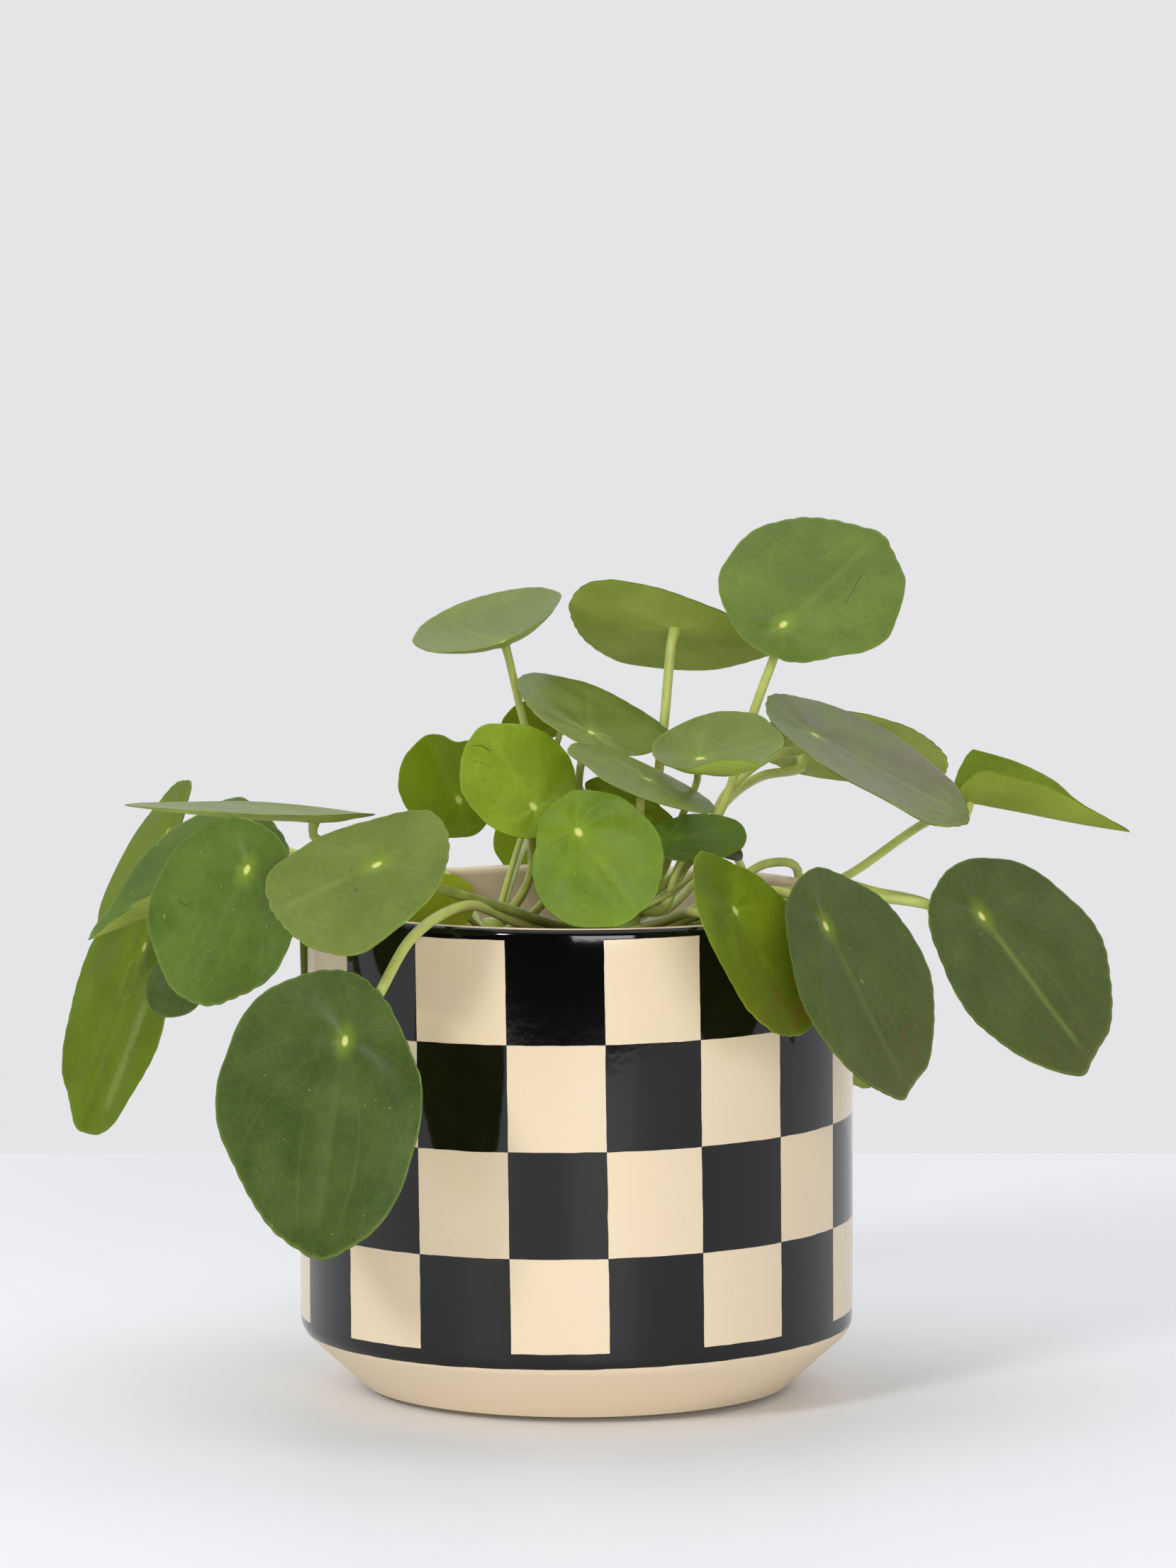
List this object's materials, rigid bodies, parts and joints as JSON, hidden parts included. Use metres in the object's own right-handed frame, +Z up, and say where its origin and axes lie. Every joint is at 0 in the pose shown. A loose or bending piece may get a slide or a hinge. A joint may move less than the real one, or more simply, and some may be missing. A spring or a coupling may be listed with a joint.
{
  "type": "potted pilea plant",
  "caption": "Round-leaved pilea on long arching stalks, growing from two short trunks in a straight glazed pot with a checker pattern and a chamfered foot.",
  "frame": {"origin": "centre of the pot's foot, on the surface that the pot stands on", "axes": "+Z up along the pot's axis, -Y towards the side that the pot is looked at from, +X to the right as seen from there"},
  "size_m": [0.2947, 0.229, 0.2356],
  "materials": {
    "pot_glaze": "glossy cream and black checker glaze with a satin cream foot",
    "soil": "moist dark potting mix",
    "trunk": "dull brown bark with leaf scars",
    "stalk": "smooth light yellow-green skin",
    "leaf": "smooth, slightly waxy deep green with a pale spot at the stalk"
  },
  "bodies": {
    "root": {"pot": "pot_glaze", "soil": "soil", "trunk_main": "trunk", "stalks_main": "stalk", "trunk_side": "trunk", "stalks_side": "stalk", "leaf_01": "leaf", "leaf_02": "leaf", "leaf_03": "leaf", "leaf_04": "leaf", "leaf_05": "leaf", "leaf_06": "leaf", "leaf_07": "leaf", "leaf_08": "leaf", "leaf_09": "leaf", "leaf_10": "leaf", "leaf_11": "leaf", "leaf_12": "leaf", "leaf_13": "leaf", "leaf_14": "leaf", "leaf_15": "leaf", "leaf_16": "leaf", "leaf_17": "leaf", "leaf_18": "leaf", "leaf_19": "leaf", "leaf_20": "leaf", "leaf_21": "leaf", "leaf_22": "leaf", "leaf_23": "leaf", "leaf_24": "leaf", "leaf_25": "leaf", "leaf_26": "leaf", "leaf_27": "leaf", "leaf_28": "leaf", "leaf_29": "leaf", "leaf_30": "leaf", "leaf_31": "leaf", "leaf_32": "leaf", "leaf_33": "leaf", "leaf_34": "leaf", "leaf_35": "leaf"}
  },
  "joints": []
}
